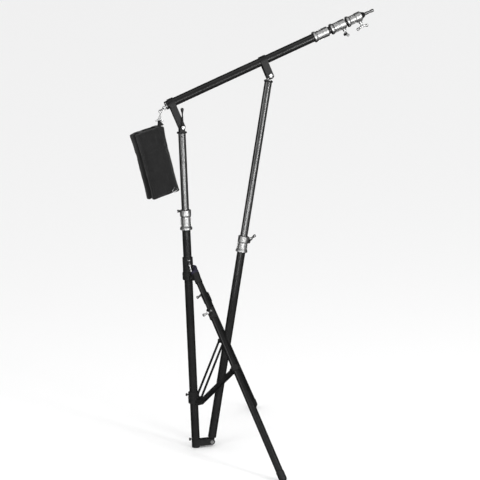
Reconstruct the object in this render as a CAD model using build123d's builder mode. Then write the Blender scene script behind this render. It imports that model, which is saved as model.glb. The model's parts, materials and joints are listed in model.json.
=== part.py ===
from build123d import *
from math import cos, radians, sin
import os

os.makedirs("parts", exist_ok=True)

# Boom stand: a telescoping mast with a pair of braced legs, a boom tilting on the mast head and a
# telescoping strut from the mast foot to the boom. Millimetres, floor at Z = 0, mast along +Z,
# boom reaching towards +X, origin under the middle of the mast foot.

# ---- layout of the linkage, at rest ----
tilt_height = 1774.0            # boom tilt pivot above the floor
boom_angle = 21.0               # boom above horizontal
knee_offset = 138.0             # tilt pivot to boom axis
bracket_spacing = 545.0         # knee bracket to strut bracket along the boom
strut_offset = 85.0             # boom axis to strut head pivot
foot_reach = 87.0               # mast axis to strut foot pivot
foot_pivot_height = 27.0

# ---- tubes ----
tube_wall = 1.5
mast_od = 45.0
riser_od = 40.0
mast_tube_top = 1258.0
riser_start = 760.0
boom_od = 45.0
boom_2_od = 40.0
boom_3_od = 35.0
boom_4_od = 30.0
strut_od = 45.0
strut_upper_od = 40.0
leg_upper_od = 31.0
leg_lower_od = 38.0

# ---- fits ----
press_gap = 0.02                # radial, a piece pushed or screwed home
run_gap = 0.06                  # radial, a pin in its bore or a tube in its clamp
side_gap = 0.4                  # between cheeks that swing past each other

# ---- clamp castings and their screws ----
flange_height = 12.0
cone_height = 8.0
cast_flange_od = 66.0
cast_waist_od = 52.0
cast_length = 107.0
boom_cast_flange_od = 60.0
boom_cast_length = 85.0
tube_seat = 35.0                # how far a tube enters its casting
screw_d = 8.0
boss_d = 19.0
boss_rise = 8.0
wing_span = 68.0
wing_root_d = 12.0
wing_tip_d = 16.0
wing_lift = 0.25                # slope of the wings away from the clamp

# ---- pivots ----
tilt_pin_d = 12.0
strut_pin_d = 10.0
foot_pin_d = 12.0
leg_pin_d = 8.0
open_pivot_slack = 9.0          # radial room round the strut head bolt
cheek = 4.0                     # thickness of bracket cheeks
knee_width = 33.0
strut_bracket_width = 36.0

# ---- mast foot ----
foot_height = 58.0
foot_radius = 6.0
link_bottom = 10.0
link_height = 34.0
link_width = 40.0
tongue_width = 24.0
plug_depth = 55.0

# ---- strut ----
strut_tube_start = 24.0         # along the strut from its foot pivot
strut_cast_at = 1066.0
strut_cast_length = 87.0
strut_screw_angle = -60.0
bush_start = 916.0              # guide bush, clear of the casting at full tilt
bush_length = 60.0
strut_head_gap = 37.0           # upper tube end short of the head pivot

# ---- mast head ----
head_flange_od = 54.0
head_flange_height = 8.0
head_neck = 28.0
lever_length = 97.0

# ---- legs and braces ----
leg_spread = 60.6               # each leg from the hub's middle line
hub_turn = -7.4                 # hub's middle line from +X
leg_pivot_radius = 52.5
leg_pivot_height = 958.7
leg_angle = 37.3                # leg from the vertical
leg_offset = 30.0               # leg axis outside its pivot
cheek_radius = 13.0             # head bracket round its pivot
leg_head = 20.0                 # leg tube above its pivot
leg_clamp_start = 202.0
leg_clamp_length = 62.0
leg_screw_at = 32.0             # clamp screw from the clamp's top
leg_boss_d = 15.0
leg_upper_end = 520.0
leg_foot_d = leg_lower_od + 4
brace_distance = 563.0          # leg pivot to brace bolt along the leg
brace_drop = 31.0               # brace bolt under the leg axis
collar_pivot_radius = 62.0
collar_pivot_height = 264.0
collar_od = 62.0
collar_height = 34.0
strap_width = 18.0
strap_thickness = 4.0
lug_width = 24.0
lug_slack = 8.0                 # room round the brace bolt inside its lug

# ---- hub ----
hub_sleeve_od = 56.0
hub_sleeve_bottom = 985.0
hub_sleeve_top = 1067.0
hub_ring_od = 63.0
hub_ring_bottom = 944.0

# ---- boom stations, measured along the boom from the knee bracket ----
boom_tail = -30.0
casting_1_at = 847.0
ring_2_length = 18.0
ring_3_length = 12.0
boom_inner_tail = 60.0
tip_cone_length = 21.0
spigot_d = 15.875
spigot_reach = 56.0
groove_d = 12.5

# ---- sandbag and its hook ----
bag_centre = (-152.0, 0.0, 1590.0)
bag_tilt = 11.4
bag_yaw = 22.0
bag_width = 172.0
bag_height = 374.0
pouch_thickness = 50.0
pouch_gap = 2.0
hook_bar = (-119.0, 0.0, 1812.0)
hook_bar_length = 43.0
handle_gap = 2.0
wire_d = 5.0
eye_radius = 9.0
link_radius = 11.0

# ---- worked out from the layout ----
boom_dir = Vector(cos(radians(boom_angle)), 0, sin(radians(boom_angle)))
boom_up = Vector(-sin(radians(boom_angle)), 0, cos(radians(boom_angle)))
tilt_pivot = Vector(0, 0, tilt_height)
boom_root = tilt_pivot + boom_up * knee_offset
strut_foot = Vector(foot_reach, 0, foot_pivot_height)
strut_head = boom_root + boom_dir * bracket_spacing - boom_up * strut_offset
strut_length = (strut_head - strut_foot).length
strut_dir = (strut_head - strut_foot).normalized()
mast_id = mast_od - 2 * tube_wall
casting_2_at = casting_1_at + boom_cast_length + ring_2_length
casting_3_at = casting_2_at + boom_cast_length + ring_3_length
tip_cone_at = casting_3_at + boom_cast_length
boom_bracket_inner = boom_od + 2 * 0.5

MAST = Plane(origin=(0, 0, 0), x_dir=(1, 0, 0), z_dir=(0, 0, 1))
BOOM = Plane(origin=boom_root, x_dir=(0, 1, 0), z_dir=boom_dir)
BOOM_SIDE = Plane(origin=boom_root, x_dir=boom_dir, z_dir=(0, -1, 0))
STRUT = Plane(origin=strut_foot, x_dir=(0, 1, 0), z_dir=strut_dir)
SIDE = Plane(origin=(0, 0, 0), x_dir=(1, 0, 0), z_dir=(0, -1, 0))


def rod(plane, diameter, start, end, mode=Mode.ADD):
    """Round bar along the plane's normal."""
    with BuildSketch(plane.offset(start)) as section:
        Circle(diameter / 2)
    extrude(section.sketch, amount=end - start, mode=mode)


def pipe(plane, outer, inner, start, end):
    """Round tube along the plane's normal."""
    with BuildSketch(plane.offset(start)) as section:
        Circle(outer / 2)
        Circle(inner / 2, mode=Mode.SUBTRACT)
    extrude(section.sketch, amount=end - start)


def turned(plane, outline, mode=Mode.ADD):
    """Body of revolution about the plane's normal, from (radius, height) points."""
    with BuildSketch(Plane(origin=plane.origin, x_dir=plane.x_dir, z_dir=-plane.y_dir)) as section:
        with BuildLine():
            Polyline(*outline, close=True)
        make_face()
    revolve(section.sketch, axis=Axis(plane.origin, plane.z_dir), mode=mode)


def block(plane, size, centre, start, end, mode=Mode.ADD):
    """Rectangular bar along the plane's normal."""
    with BuildSketch(plane.offset(start)) as section:
        with Locations(centre):
            Rectangle(*size)
    extrude(section.sketch, amount=end - start, mode=mode)


def bolt(plane, diameter, grip, head_d, head_height, nut_height):
    """Hexagon bolt centred on the plane: head on the normal's side, nut behind."""
    rod(plane, diameter, -grip / 2 - nut_height, grip / 2)
    for start, height in ((grip / 2, head_height), (-grip / 2 - nut_height, nut_height)):
        with BuildSketch(plane.offset(start)) as hexagon:
            RegularPolygon(head_d / 2, 6)
        extrude(hexagon.sketch, amount=height)


def radial(base, angle, distance, height):
    """Plane whose normal points outwards from the base plane's axis."""
    outwards = base.x_dir * cos(radians(angle)) + base.y_dir * sin(radians(angle))
    foot = base.origin + base.z_dir * height + outwards * distance
    return Plane(origin=foot, x_dir=base.z_dir, z_dir=outwards)


def wing_handle(seat, stand_off, span, turn):
    """Clamp screw with two swept wings, its normal pointing out of the clamp."""
    rod(seat, screw_d, -5, stand_off)
    turned(seat, [(0, stand_off - 4), (6, stand_off - 4), (8, stand_off + 1), (8, stand_off + 9),
                  (5.5, stand_off + 12), (0, stand_off + 12)])
    reach = span / 2 - 6
    root = seat.origin + seat.z_dir * (stand_off + 4)
    for angle in (turn, turn + 180):
        sweep_dir = seat.x_dir * cos(radians(angle)) + seat.y_dir * sin(radians(angle))
        along = Plane(origin=root, x_dir=seat.z_dir, z_dir=(sweep_dir + seat.z_dir * wing_lift).normalized())
        turned(along, [(0, 0), (wing_root_d / 2, 0), (wing_root_d / 2 - 0.8, reach * 0.6),
                       (wing_tip_d / 2, reach), (wing_tip_d / 2, reach + 3),
                       (wing_tip_d / 2 - 2, reach + 6), (0, reach + 6)])


def clamp_casting(base, start, length, lower_od, upper_od, flange_od, waist_od, screw_angle):
    """Cast clamp: it is fixed on the lower tube and grips the upper one."""
    low = lower_od / 2 + press_gap
    high = upper_od / 2 + run_gap
    flange = flange_od / 2
    waist = waist_od / 2
    lip = flange - 3
    neck = length - 30
    turned(base.offset(start), [
        (low, 0), (flange - 1.5, 0), (flange, 1.5), (flange, flange_height - 1.5),
        (flange - 1.5, flange_height), (waist, flange_height + cone_height),
        (waist, neck - cone_height), (lip, neck), (lip, length - 1.5), (lip - 1.5, length),
        (high, length), (high, tube_seat + 2), (low, tube_seat)])
    with BuildSketch(base.offset(start + flange_height)) as ribs:
        with PolarLocations(waist, 6, start_angle=screw_angle + 30):
            Rectangle(5, 4)
    extrude(ribs.sketch, amount=neck - flange_height)
    seat = radial(base, screw_angle, 0, start + length - 15)
    rod(seat, boss_d, high + 2, flange + boss_rise)
    rod(base, upper_od + 2 * run_gap, start + tube_seat + 1, start + length, mode=Mode.SUBTRACT)
    rod(seat, screw_d + 2 * run_gap, high - 1, flange + boss_rise + 1, mode=Mode.SUBTRACT)


def clamp_screw(base, start, length, upper_od, flange_od, screw_angle, turn):
    """Wing handle of a clamp casting, ending just short of the inner tube."""
    seat = radial(base, screw_angle, upper_od / 2 + 6, start + length - 15)
    wing_handle(seat, flange_od / 2 + boss_rise + 6 - upper_od / 2, wing_span, turn)


def boom_bracket(station, width, drop, ear_radius, pin_d):
    """Saddle round the boom with two cheeks that carry a pivot below it."""
    outer = boom_bracket_inner + 2 * cheek
    with BuildSketch(BOOM.offset(station - width / 2)) as saddle:
        Circle(outer / 2)
        with Locations((0, -(drop + ear_radius) / 2)):
            Rectangle(outer, drop + ear_radius)
        Circle(boom_od / 2 + press_gap, mode=Mode.SUBTRACT)
        with Locations((0, -boom_od / 2 - cheek - drop / 2 - ear_radius / 2)):
            Rectangle(boom_bracket_inner, drop + ear_radius, mode=Mode.SUBTRACT)
    extrude(saddle.sketch, amount=width)
    with BuildSketch(BOOM_SIDE) as outline:
        with Locations((station, -drop)):
            Circle(ear_radius)
        with BuildLine():
            Polyline((station - ear_radius, -drop), (station + ear_radius, -drop),
                     (station + width / 2, -boom_od / 2), (station + width / 2, outer),
                     (station - width / 2, outer), (station - width / 2, -boom_od / 2), close=True)
        make_face()
        with Locations((station, -drop)):
            Circle(pin_d / 2 + run_gap, mode=Mode.SUBTRACT)
    extrude(outline.sketch, amount=outer, both=True, mode=Mode.INTERSECT)


# ---------------------------------------------------------------- mast

with BuildPart() as mast_foot:
    turned(MAST, [(0, 0), (mast_od / 2 - foot_radius, 0), (mast_od / 2 - 1.5, 2), (mast_od / 2, foot_radius),
                  (mast_od / 2, foot_height), (mast_id / 2 - press_gap, foot_height),
                  (mast_id / 2 - press_gap, foot_height + plug_depth), (0, foot_height + plug_depth)])
    block(SIDE, (foot_reach, link_height), (foot_reach / 2, link_bottom + link_height / 2),
          -link_width / 2, link_width / 2)
    with BuildSketch(SIDE.offset(-link_width / 2)) as ear:
        with Locations((foot_reach, foot_pivot_height)):
            Circle(link_height / 2)
    extrude(ear.sketch, amount=link_width)
    slot_width = tongue_width + 2 * side_gap
    block(SIDE, (2 * link_height, 3 * link_height), (foot_reach + 2, foot_pivot_height),
          -slot_width / 2, slot_width / 2, mode=Mode.SUBTRACT)
    rod(Plane(origin=strut_foot, x_dir=(1, 0, 0), z_dir=(0, -1, 0)), foot_pin_d + 2 * run_gap,
        -link_width, link_width, mode=Mode.SUBTRACT)
mast_foot.part.label = "mast_foot"
export_step(mast_foot.part, "parts/mast_foot.step")

with BuildPart() as mast_lower_tube:
    pipe(MAST, mast_od, mast_id, foot_height, mast_tube_top)
mast_lower_tube.part.label = "mast_lower_tube"
export_step(mast_lower_tube.part, "parts/mast_lower_tube.step")

mast_cast_at = mast_tube_top - tube_seat - 5
with BuildPart() as mast_casting:
    clamp_casting(MAST, mast_cast_at, cast_length, mast_od, riser_od, cast_flange_od, cast_waist_od, 90)
    rod(MAST, mast_od + 2 * press_gap, mast_cast_at - 1, mast_tube_top, mode=Mode.SUBTRACT)
mast_casting.part.label = "mast_casting"
export_step(mast_casting.part, "parts/mast_casting.step")

with BuildPart() as mast_handle:
    clamp_screw(MAST, mast_cast_at, cast_length, riser_od, cast_flange_od, 90, 90)
mast_handle.part.label = "mast_handle"
export_step(mast_handle.part, "parts/mast_handle.step")

with BuildPart() as mast_upper_tube:
    pipe(MAST, riser_od, riser_od - 2 * tube_wall, riser_start, tilt_height - 35)
mast_upper_tube.part.label = "mast_upper_tube"
export_step(mast_upper_tube.part, "parts/mast_upper_tube.step")

head_width = boom_bracket_inner - 2 * side_gap
with BuildPart() as mast_head:
    head_base = tilt_height - 35
    turned(MAST, [(0, head_base - plug_depth), (riser_od / 2 - tube_wall - press_gap, head_base - plug_depth),
                  (riser_od / 2 - tube_wall - press_gap, head_base), (head_flange_od / 2, head_base),
                  (head_flange_od / 2, head_base + head_flange_height - 2),
                  (head_flange_od / 2 - 2, head_base + head_flange_height),
                  (0, head_base + head_flange_height)])
    block(SIDE, (head_neck, 35), (0, tilt_height - 17.5), -head_width / 2, head_width / 2)
    with BuildSketch(SIDE.offset(-head_width / 2)) as eye:
        with Locations((0, tilt_height)):
            Circle(knee_width / 2 - 0.5)
    extrude(eye.sketch, amount=head_width)
    rod(Plane(origin=tilt_pivot, x_dir=(1, 0, 0), z_dir=(0, -1, 0)), tilt_pin_d + 2 * press_gap,
        -head_width, head_width, mode=Mode.SUBTRACT)
mast_head.part.label = "mast_head"
export_step(mast_head.part, "parts/mast_head.step")

TILT = Plane(origin=tilt_pivot, x_dir=(1, 0, 0), z_dir=(0, -1, 0))
knee_outer = boom_bracket_inner + 2 * cheek
lever_start = knee_outer / 2 + side_gap
lever_boss = 18.0
with BuildPart() as tilt_pivot_bolt:
    rod(TILT, tilt_pin_d, -knee_outer / 2 - side_gap, lever_start + lever_boss)
    rod(TILT, 18, lever_start + lever_boss, lever_start + lever_boss + 5)
    with BuildSketch(TILT.offset(-knee_outer / 2 - side_gap - 9)) as nut:
        RegularPolygon(10, 6)
    extrude(nut.sketch, amount=9)
tilt_pivot_bolt.part.label = "tilt_pivot_bolt"
export_step(tilt_pivot_bolt.part, "parts/tilt_pivot_bolt.step")

with BuildPart() as tilt_lever:
    rod(TILT, 24, lever_start, lever_start + lever_boss - side_gap)
    stem_root = tilt_pivot - Vector(0, lever_start + lever_boss / 2, 0)
    stem = Plane(origin=stem_root, x_dir=(1, 0, 0), z_dir=(0, 0, 1))
    turned(stem, [(0, 0), (4.6, 0), (3.6, lever_length - 26), (5, lever_length - 18), (8.5, lever_length - 4),
                  (8.5, lever_length + 2), (6, lever_length + 6), (0, lever_length + 7)])
    rod(TILT, tilt_pin_d + 2 * run_gap, 0, lever_start + lever_boss + 2, mode=Mode.SUBTRACT)
tilt_lever.part.label = "tilt_lever"
export_step(tilt_lever.part, "parts/tilt_lever.step")

# ---------------------------------------------------------------- boom

with BuildPart() as boom_outer_tube:
    pipe(BOOM, boom_od, boom_od - 2 * tube_wall, boom_tail, casting_1_at + tube_seat)
boom_outer_tube.part.label = "boom_outer_tube"
export_step(boom_outer_tube.part, "parts/boom_outer_tube.step")

with BuildPart() as knee_bracket:
    boom_bracket(0, knee_width, knee_offset, knee_width / 2, tilt_pin_d)
knee_bracket.part.label = "knee_bracket"
export_step(knee_bracket.part, "parts/knee_bracket.step")

with BuildPart() as strut_bracket:
    boom_bracket(bracket_spacing, strut_bracket_width, strut_offset, 20, strut_pin_d)
strut_bracket.part.label = "strut_bracket"
export_step(strut_bracket.part, "parts/strut_bracket.step")

HEAD = Plane(origin=strut_head, x_dir=(1, 0, 0), z_dir=(0, -1, 0))
with BuildPart() as strut_head_bolt:
    bolt(HEAD, strut_pin_d, knee_outer, 20, 7, 8)
strut_head_bolt.part.label = "strut_head_bolt"
export_step(strut_head_bolt.part, "parts/strut_head_bolt.step")

tail_eye_at = boom_root + boom_dir * (boom_tail - 15) - boom_up * 8
with BuildPart() as tail_eye:
    rod(BOOM, boom_od - 2 * tube_wall - 2 * press_gap, boom_tail, boom_tail + 25)
    rod(BOOM, boom_od, boom_tail - 4, boom_tail)
    with BuildSketch(Plane(origin=tail_eye_at, x_dir=boom_dir, z_dir=boom_up)) as eye_section:
        with Locations((eye_radius, 0)):
            Circle(wire_d / 2)
    revolve(eye_section.sketch, axis=Axis(tail_eye_at, (0, 1, 0)))
tail_eye.part.label = "tail_eye"
export_step(tail_eye.part, "parts/tail_eye.step")

casting_stations = ((1, casting_1_at, boom_od, boom_2_od, 0, 0),
                    (2, casting_2_at, boom_2_od, boom_3_od, -90, 90),
                    (3, casting_3_at, boom_3_od, boom_4_od, -90, 0))
for number, station, lower, upper, screw_angle, turn in casting_stations:
    waist = cast_waist_od - 3 * (number - 1)
    with BuildPart() as boom_casting:
        clamp_casting(BOOM, station, boom_cast_length, lower, upper, boom_cast_flange_od, waist, screw_angle)
    boom_casting.part.label = f"boom_casting_{number}"
    export_step(boom_casting.part, f"parts/boom_casting_{number}.step")
    with BuildPart() as boom_handle:
        clamp_screw(BOOM, station, boom_cast_length, upper, boom_cast_flange_od, screw_angle, turn)
    boom_handle.part.label = f"boom_handle_{number}"
    export_step(boom_handle.part, f"parts/boom_handle_{number}.step")

section_ends = ((2, boom_2_od, casting_2_at + tube_seat), (3, boom_3_od, casting_3_at + tube_seat),
                (4, boom_4_od, tip_cone_at + 2))
for number, section_od, section_end in section_ends:
    with BuildPart() as boom_tube:
        pipe(BOOM, section_od, section_od - 2 * tube_wall, boom_inner_tail, section_end)
    boom_tube.part.label = f"boom_tube_{number}"
    export_step(boom_tube.part, f"parts/boom_tube_{number}.step")

with BuildPart() as boom_tip_cone:
    cone_base = tip_cone_at + side_gap
    turned(BOOM, [(spigot_d / 2 + press_gap, cone_base + 2), (boom_4_od / 2 + press_gap, cone_base + 2),
                  (boom_4_od / 2 + press_gap, cone_base), (20, cone_base), (20, cone_base + 4),
                  (12, tip_cone_at + tip_cone_length), (spigot_d / 2 + press_gap, tip_cone_at + tip_cone_length)])
boom_tip_cone.part.label = "boom_tip_cone"
export_step(boom_tip_cone.part, "parts/boom_tip_cone.step")

spigot_from = tip_cone_at + tip_cone_length - 60
spigot_tip = tip_cone_at + tip_cone_length + spigot_reach
with BuildPart() as spigot:
    inner_r = boom_4_od / 2 - tube_wall - press_gap
    groove_at = spigot_tip - 26
    turned(BOOM, [(0, spigot_from), (inner_r, spigot_from), (inner_r, tip_cone_at), (spigot_d / 2, tip_cone_at),
                  (spigot_d / 2, groove_at - 6), (groove_d / 2, groove_at - 4), (groove_d / 2, groove_at + 4),
                  (spigot_d / 2, groove_at + 6), (spigot_d / 2, spigot_tip - 1.5),
                  (spigot_d / 2 - 1.5, spigot_tip), (0, spigot_tip)])
spigot.part.label = "spigot"
export_step(spigot.part, "parts/spigot.step")

# ---------------------------------------------------------------- strut

FOOT_PIN = Plane(origin=strut_foot, x_dir=(1, 0, 0), z_dir=(0, -1, 0))
strut_id = strut_od - 2 * tube_wall
strut_tube_end = strut_cast_at + tube_seat
strut_upper_end = strut_length - strut_head_gap

with BuildPart() as strut_foot_bolt:
    bolt(FOOT_PIN, foot_pin_d, link_width + 2 * side_gap, 21, 6, 8)
strut_foot_bolt.part.label = "strut_foot_bolt"
export_step(strut_foot_bolt.part, "parts/strut_foot_bolt.step")

with BuildPart() as strut_tongue:
    turned(STRUT, [(0, link_height / 2 + 1), (12, link_height / 2 + 1), (strut_od / 2, strut_tube_start - 1),
                   (strut_od / 2, strut_tube_start), (strut_id / 2 - press_gap, strut_tube_start),
                   (strut_id / 2 - press_gap, strut_tube_start + plug_depth), (0, strut_tube_start + plug_depth)])
    with BuildSketch(FOOT_PIN.offset(-tongue_width / 2)) as tongue:
        Circle(15)
    extrude(tongue.sketch, amount=tongue_width)
    block(Plane(origin=strut_foot, x_dir=strut_dir, z_dir=(0, -1, 0)), (strut_tube_start, 26),
          (strut_tube_start / 2, 0), -tongue_width / 2, tongue_width / 2)
    rod(FOOT_PIN, foot_pin_d + 2 * run_gap, -link_width, link_width, mode=Mode.SUBTRACT)
strut_tongue.part.label = "strut_tongue"
export_step(strut_tongue.part, "parts/strut_tongue.step")

with BuildPart() as strut_lower_tube:
    pipe(STRUT, strut_od, strut_id, strut_tube_start, strut_tube_end)
strut_lower_tube.part.label = "strut_lower_tube"
export_step(strut_lower_tube.part, "parts/strut_lower_tube.step")

with BuildPart() as strut_casting:
    clamp_casting(STRUT, strut_cast_at, strut_cast_length, strut_od, strut_upper_od, cast_flange_od - 2,
                  cast_waist_od + 1, strut_screw_angle)
strut_casting.part.label = "strut_casting"
export_step(strut_casting.part, "parts/strut_casting.step")

with BuildPart() as strut_handle:
    clamp_screw(STRUT, strut_cast_at, strut_cast_length, strut_upper_od, cast_flange_od - 2,
                strut_screw_angle, 40)
strut_handle.part.label = "strut_handle"
export_step(strut_handle.part, "parts/strut_handle.step")

with BuildPart() as strut_guide_bush:
    pipe(STRUT, strut_id - 2 * run_gap, strut_upper_od + 2 * run_gap, bush_start, bush_start + bush_length)
strut_guide_bush.part.label = "strut_guide_bush"
export_step(strut_guide_bush.part, "parts/strut_guide_bush.step")

with BuildPart() as strut_upper_tube:
    pipe(STRUT, strut_upper_od, strut_upper_od - 2 * tube_wall, strut_cast_at - 150, strut_upper_end)
strut_upper_tube.part.label = "strut_upper_tube"
export_step(strut_upper_tube.part, "parts/strut_upper_tube.step")

# The strut head's eye is wide enough for the boom to swing through its whole range.
STRUT_SIDE = Plane(origin=strut_head, x_dir=strut_dir, z_dir=(0, -1, 0))
with BuildPart() as strut_head_plug:
    inner = strut_upper_od / 2 - tube_wall - press_gap
    turned(STRUT, [(0, strut_upper_end - plug_depth), (inner, strut_upper_end - plug_depth),
                   (inner, strut_upper_end + 12), (11, strut_upper_end + 15), (0, strut_upper_end + 15)])
    with BuildSketch(STRUT_SIDE.offset(-9)) as head_eye:
        Circle(strut_pin_d / 2 + open_pivot_slack + 4)
        with Locations((-strut_head_gap / 2, 0)):
            Rectangle(strut_head_gap - 5, 24)
        Circle(strut_pin_d / 2 + open_pivot_slack, mode=Mode.SUBTRACT)
    extrude(head_eye.sketch, amount=18)
strut_head_plug.part.label = "strut_head_plug"
export_step(strut_head_plug.part, "parts/strut_head_plug.step")

with BuildPart() as strut_head_ring:
    bore = strut_upper_od / 2 - tube_wall
    turned(STRUT.offset(strut_upper_end), [(bore, 0), (23, 0), (24, 2), (24, 7), (22, 10), (bore, 10)])
strut_head_ring.part.label = "strut_head_ring"
export_step(strut_head_ring.part, "parts/strut_head_ring.step")

# ---------------------------------------------------------------- hub and lower collar

def leg_out(side):
    """Outward horizontal direction of a leg: side -1 is the near leg, +1 the far one."""
    turn = radians(hub_turn + side * leg_spread)
    return Vector(cos(turn), sin(turn), 0)


def leg_plane(side, radius, height):
    """Vertical plane of a leg: X outwards, Y up, normal across the leg."""
    out = leg_out(side)
    return Plane(origin=out * radius + Vector(0, 0, height), x_dir=out, z_dir=Vector(out.Y, -out.X, 0))


ear_width = leg_upper_od - 2 * side_gap
hub_ear_radius = 13.0
with BuildPart() as leg_hub:
    turned(MAST, [(mast_od / 2 + run_gap, hub_ring_bottom), (hub_ring_od / 2 - 2, hub_ring_bottom),
                  (hub_ring_od / 2, hub_ring_bottom + 2), (hub_ring_od / 2, hub_sleeve_bottom - 3),
                  (hub_sleeve_od / 2, hub_sleeve_bottom + 2), (hub_sleeve_od / 2, hub_sleeve_top - 2),
                  (hub_sleeve_od / 2 - 2, hub_sleeve_top), (mast_od / 2 + run_gap, hub_sleeve_top)])
    for side in (-1, 1):
        arm = leg_plane(side, 0, leg_pivot_height)
        with BuildSketch(arm.offset(-ear_width / 2)) as ear:
            with Locations((leg_pivot_radius / 2 + 12, 0)):
                Rectangle(leg_pivot_radius - 24, 2 * hub_ear_radius)
            with Locations((leg_pivot_radius, 0)):
                Circle(hub_ear_radius)
        extrude(ear.sketch, amount=ear_width)
        pin_plane = leg_plane(side, leg_pivot_radius, leg_pivot_height)
        rod(pin_plane, leg_pin_d + 2 * run_gap, -ear_width, ear_width, mode=Mode.SUBTRACT)
    hub_screw_height = (hub_sleeve_bottom + hub_sleeve_top) / 2 + 4
    hub_seat = radial(MAST, -90, 0, hub_screw_height)
    rod(hub_seat, boss_d, mast_od / 2 + 2, hub_sleeve_od / 2 + 7)
    rod(hub_seat, screw_d + 2 * run_gap, mast_od / 2 - 1, hub_sleeve_od, mode=Mode.SUBTRACT)
    rod(MAST, mast_od + 2 * run_gap, hub_ring_bottom - 1, hub_sleeve_top + 1, mode=Mode.SUBTRACT)
leg_hub.part.label = "leg_hub"
export_step(leg_hub.part, "parts/leg_hub.step")

with BuildPart() as hub_handle:
    wing_handle(radial(MAST, -90, mast_od / 2 + 6, hub_screw_height), hub_sleeve_od / 2 + 13 - mast_od / 2,
                wing_span + 4, 8)
hub_handle.part.label = "hub_handle"
export_step(hub_handle.part, "parts/hub_handle.step")

bracket_outer = leg_upper_od + 2 * cheek
with BuildPart() as leg_pivot_bolts:
    for side in (-1, 1):
        pivot_plane = leg_plane(side, leg_pivot_radius, leg_pivot_height)
        bolt(pivot_plane, leg_pin_d, bracket_outer + 2 * side_gap, 15, 5, 6)
leg_pivot_bolts.part.label = "leg_pivot_bolts"
export_step(leg_pivot_bolts.part, "parts/leg_pivot_bolts.step")

# The brace collar sits under a stop collar, both clamped on the mast.
collar_top = collar_pivot_height + collar_height / 2 + 8
with BuildPart() as brace_collar:
    pipe(MAST, collar_od, mast_od + 2 * press_gap, collar_top - collar_height, collar_top)
    for side in (-1, 1):
        arm = leg_plane(side, 0, collar_pivot_height)
        with BuildSketch(arm.offset(-lug_width / 2)) as ear:
            with Locations((collar_pivot_radius / 2 + 12, 0)):
                Rectangle(collar_pivot_radius - 24, 20)
            with Locations((collar_pivot_radius, 0)):
                Circle(10)
        extrude(ear.sketch, amount=lug_width)
        pin_plane = leg_plane(side, collar_pivot_radius, collar_pivot_height)
        rod(pin_plane, leg_pin_d + 2 * run_gap, -lug_width, lug_width, mode=Mode.SUBTRACT)
    rod(MAST, mast_od + 2 * press_gap, 0, collar_top + 100, mode=Mode.SUBTRACT)
brace_collar.part.label = "brace_collar"
export_step(brace_collar.part, "parts/brace_collar.step")

with BuildPart() as stop_collar:
    turned(MAST.offset(collar_top + side_gap), [
        (mast_od / 2 + press_gap, 0), (collar_od / 2 - 1, 0), (collar_od / 2 - 1, 24),
        (collar_od / 2 - 4, 28), (mast_od / 2 + press_gap, 28)])
stop_collar.part.label = "stop_collar"
export_step(stop_collar.part, "parts/stop_collar.step")

# Small locking screws: one on the stop collar, one on the mast foot.
with BuildPart() as locking_screws:
    for height, surface in ((collar_top + 14, collar_od / 2 - 1), (foot_height - 9, mast_od / 2)):
        screw_seat = radial(MAST, 180, surface, height)
        turned(screw_seat, [(0, 0), (3, 0), (3, 4), (7, 5), (8, 7), (8, 12), (6, 14), (0, 14)])
locking_screws.part.label = "locking_screws"
export_step(locking_screws.part, "parts/locking_screws.step")

# ---------------------------------------------------------------- legs

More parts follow.
